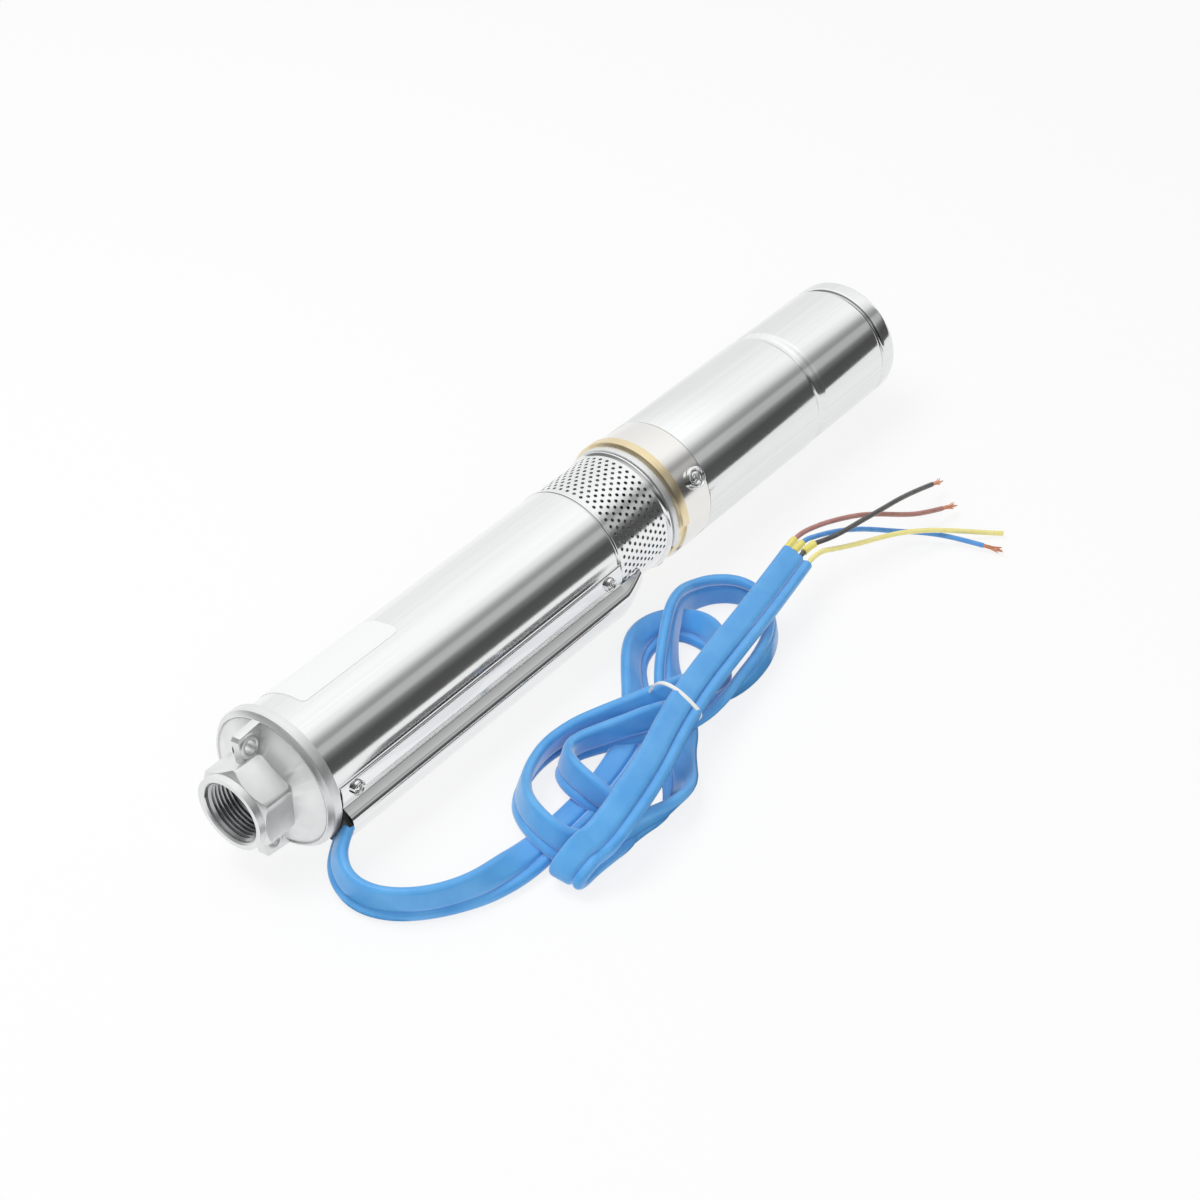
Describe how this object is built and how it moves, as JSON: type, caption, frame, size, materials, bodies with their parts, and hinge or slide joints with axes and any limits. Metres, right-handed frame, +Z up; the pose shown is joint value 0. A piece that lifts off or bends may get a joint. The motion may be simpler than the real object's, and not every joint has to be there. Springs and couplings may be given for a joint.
{
  "type": "borehole submersible pump",
  "caption": "Slim multistage water pump with its motor in one line, a female threaded outlet with lifting ears, a strainer, and a flat cable run under a guard to a tied hank.",
  "frame": {"origin": "under the middle of the pump's length and width, on the surface that it lies on", "axes": "+X from the outlet to the motor's end along the pump, +Y to the side away from the cable, +Z up"},
  "size_m": [0.5168, 0.2013, 0.077],
  "materials": {
    "polished_stainless": "drawn stainless sheet and tube, polished",
    "brushed_stainless": "brushed stainless band",
    "cast_stainless": "blasted stainless casting",
    "shaft_steel": "bright machined stainless",
    "brass": "machined brass",
    "core_iron": "laminated iron",
    "magnet": "coated magnet segments",
    "copper": "bare copper",
    "seal_carbon": "carbon seal ring",
    "white_acetal": "moulded engineering plastic",
    "black_rubber": "nitrile rubber",
    "blue_sheath": "blue cable sheath",
    "white_nylon": "nylon strap",
    "brown_insulation": "brown core insulation",
    "black_insulation": "black core insulation",
    "blue_insulation": "light blue core insulation",
    "earth_insulation": "yellow and green core insulation",
    "clear_sleeve": "pale sleeve"
  },
  "bodies": {
    "pump": {"discharge_head": "cast_stainless", "valve_seat": "white_acetal", "pump_tube": "polished_stainless", "top_bearing": "white_acetal", "top_bush": "black_rubber", "inlet_bracket": "cast_stainless", "bracket_bolts": "shaft_steel", "strainer": "polished_stainless", "motor_bracket": "brass", "motor_collar": "brushed_stainless", "motor_screws": "shaft_steel", "motor_shell": "polished_stainless", "stator_core": "core_iron", "windings": "copper", "upper_bearing": "shaft_steel", "lower_bearing": "shaft_steel", "seal_seat": "seal_carbon", "lower_bearing_plate": "cast_stainless", "pressure_diaphragm": "black_rubber", "end_cap": "polished_stainless", "cable_guard": "polished_stainless", "guard_screws": "shaft_steel", "cable_grommet": "black_rubber", "cable_lead": "blue_sheath", "cable_arc": "blue_sheath", "cable_hank": "blue_sheath", "cable_tail": "blue_sheath", "cable_tie": "white_nylon", "core_brown": "brown_insulation", "core_black": "black_insulation", "core_blue": "blue_insulation", "core_earth": "earth_insulation", "core_sleeves": "clear_sleeve", "bare_strands": "copper", "diffuser_1": "white_acetal", "diffuser_2": "white_acetal", "diffuser_3": "white_acetal", "diffuser_4": "white_acetal"},
    "rotor": {"pump_shaft": "shaft_steel", "coupling": "shaft_steel", "motor_shaft": "shaft_steel", "rotor_core": "core_iron", "magnet_ring": "magnet", "seal_face": "seal_carbon", "impeller_1": "white_acetal", "impeller_2": "white_acetal", "impeller_3": "white_acetal", "impeller_4": "white_acetal"},
    "valve": {"valve_poppet": "white_acetal", "valve_seal": "black_rubber"}
  },
  "joints": [
    {"name": "rotor_spin", "type": "hinge", "parent": "pump", "child": "rotor", "pos_m": [0, 0.00157, 0.0385], "axis": [1, 0, 0], "continuous": true},
    {"name": "valve_lift", "type": "slide", "parent": "pump", "child": "valve", "axis": [-1, 0, 0], "range_m": [0, 0.0055]}
  ]
}
